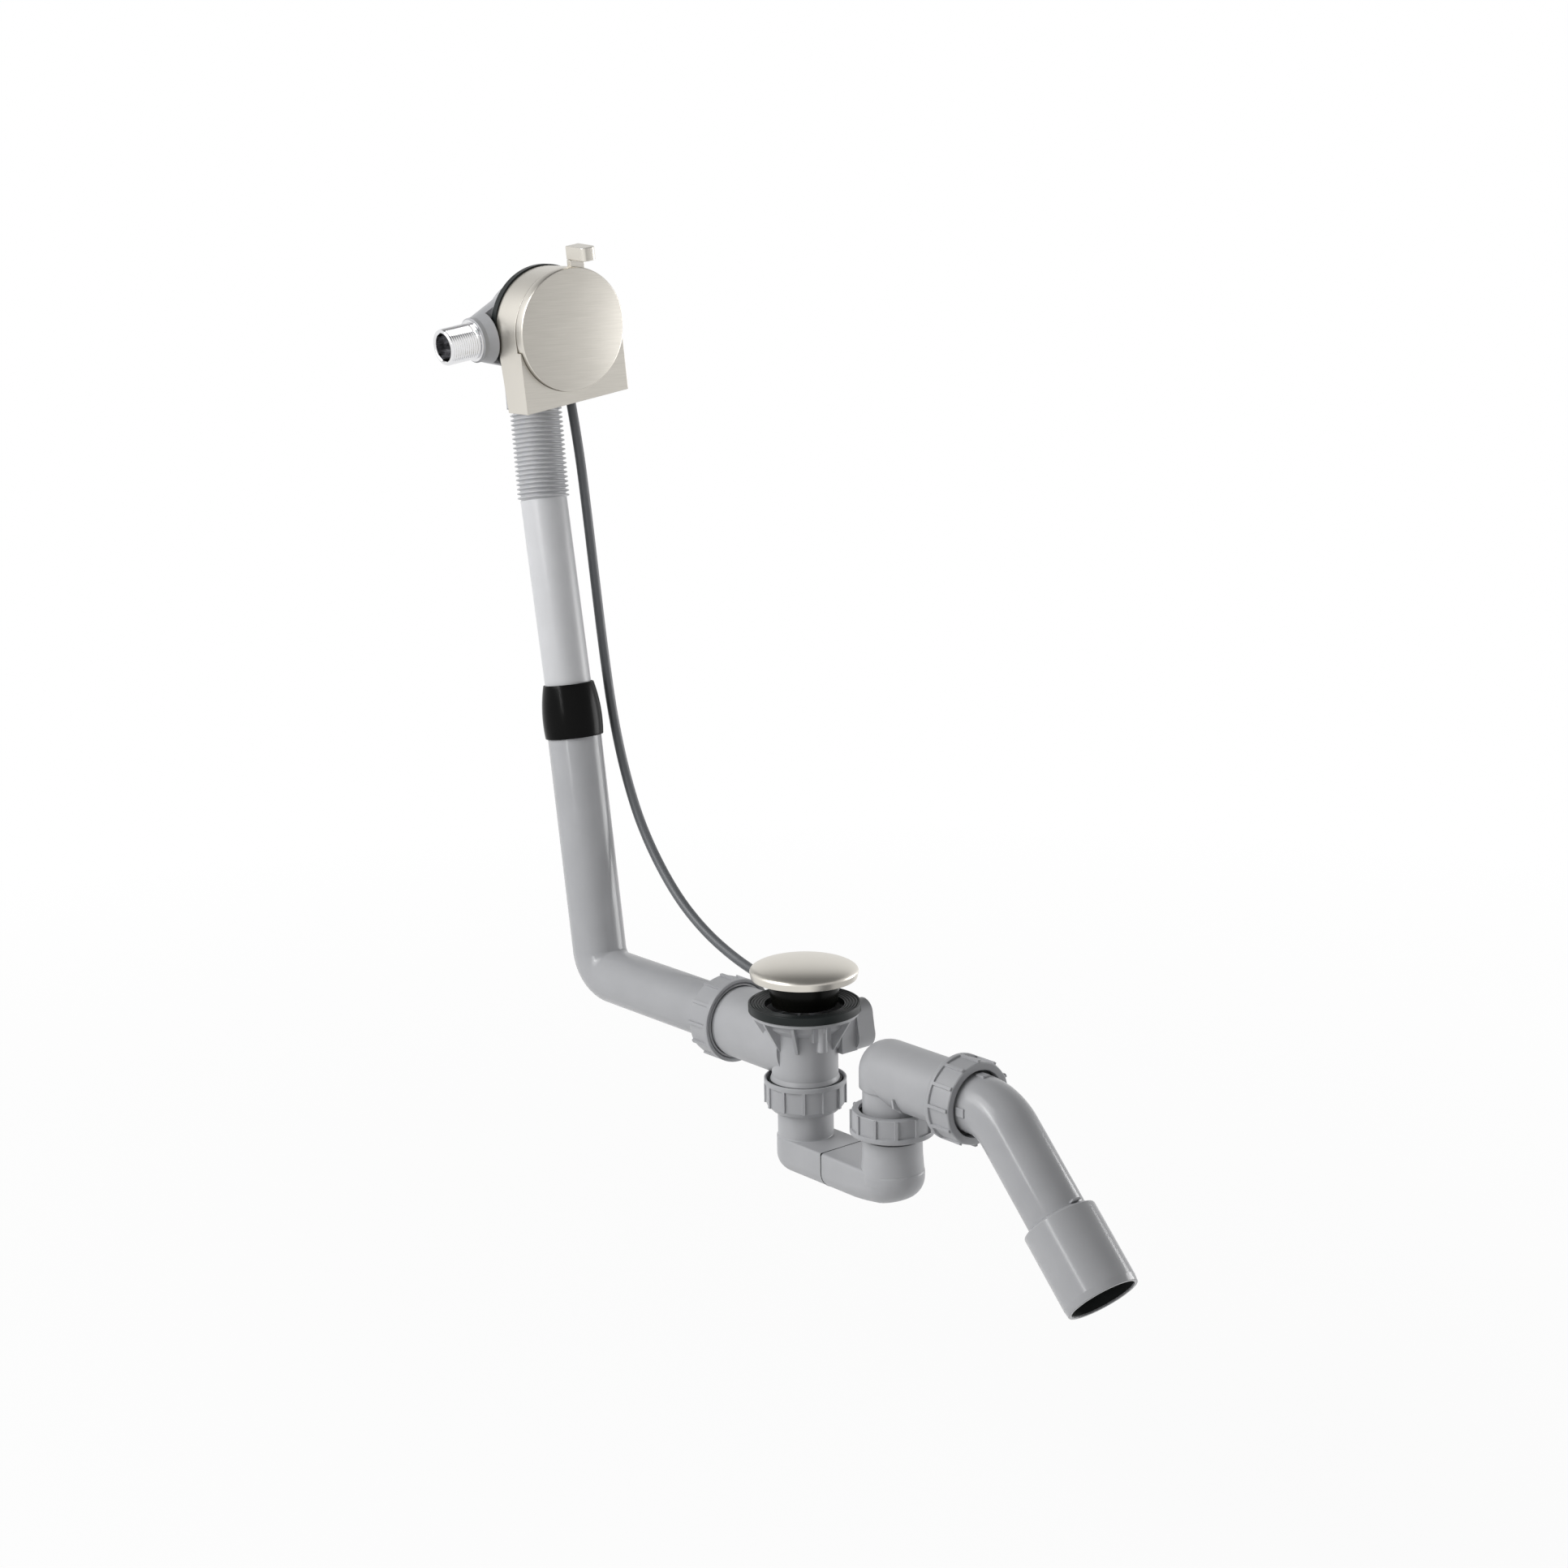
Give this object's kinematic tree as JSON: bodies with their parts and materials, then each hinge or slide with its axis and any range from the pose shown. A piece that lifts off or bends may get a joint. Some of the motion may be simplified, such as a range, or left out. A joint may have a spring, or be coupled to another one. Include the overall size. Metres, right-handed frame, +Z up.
{
  "type": "bath waste and overflow",
  "caption": "Bath waste and overflow filler: cable-operated pop-up plug, low trap with ribbed union nuts, telescopic overflow pipe and a threaded water inlet on the head.",
  "frame": {"origin": "centre of the bath seat, on the top face of the waste's rubber gasket", "axes": "+Z up out of the bath, +X from the overflow pipe towards the outlet, +Y towards the side the cable runs on"},
  "size_m": [0.6308, 0.1346, 0.6495],
  "materials": {
    "grey_plastic": "satin moulded polypropylene",
    "pale_plastic": "slightly translucent moulded pipe",
    "black_plastic": "smooth black moulding",
    "black_rubber": "matt black sealing rubber",
    "satin_nickel": "satin metallic finish",
    "polished_chrome": "polished chrome plate",
    "steel": "turned steel",
    "cable_jacket": "extruded dark jacket"
  },
  "bodies": {
    "body": {"waste_body": "grey_plastic", "spindle_guide": "grey_plastic", "mechanism_cover": "grey_plastic", "trap_inlet": "grey_plastic", "trap_outlet": "grey_plastic", "outlet_elbow": "grey_plastic", "outlet_bend": "grey_plastic", "overflow_elbow": "grey_plastic", "overflow_housing": "grey_plastic", "clamp_plate": "grey_plastic", "trap_inlet_nut": "grey_plastic", "trap_outlet_nut": "grey_plastic", "outlet_nut": "grey_plastic", "overflow_nut": "grey_plastic", "upper_tube": "pale_plastic", "upper_ferrule": "black_plastic", "lower_ferrule": "black_plastic", "flange_gasket": "black_rubber", "shaft_seal": "black_rubber", "trap_seam_seal": "black_rubber", "slip_sleeve": "black_rubber", "rear_gasket": "black_rubber", "trap_inlet_washer": "black_rubber", "trap_outlet_washer": "black_rubber", "outlet_washer": "black_rubber", "overflow_washer": "black_rubber", "cover": "satin_nickel", "inlet_nipple": "polished_chrome", "nipple_ring": "polished_chrome", "clamp_screws": "steel", "cable_sheath": "cable_jacket"},
    "plug": {"plug_cap": "satin_nickel", "plug_carrier": "black_plastic", "plug_seal": "black_rubber", "plug_spindle": "steel"},
    "rocker": {"lift_shaft": "steel", "cable_crank": "grey_plastic"},
    "knob": {"turn_disc": "satin_nickel", "lever_grip": "satin_nickel", "knob_shaft": "steel", "knob_pulley": "grey_plastic"}
  },
  "joints": [
    {"name": "knob_turn", "type": "hinge", "parent": "body", "child": "knob", "pos_m": [-0.2454, 0, 0.4458], "axis": [0.9974, -0.0193, -0.069], "range_deg": [0, 90]},
    {"name": "plug_slide", "type": "slide", "parent": "body", "child": "plug", "axis": [0, 0, 1], "range_m": [-0.01, 0]},
    {"name": "lift_rocker", "type": "hinge", "parent": "body", "child": "rocker", "pos_m": [0.015, 0, -0.0268], "axis": [0, 1, 0], "range_deg": [-37.64, 0]}
  ],
  "couplings": [
    {"joint": "plug_slide", "follows": "knob_turn", "m_per_rad": -0.0063662},
    {"joint": "lift_rocker", "follows": "knob_turn", "ratio": -0.41822}
  ]
}
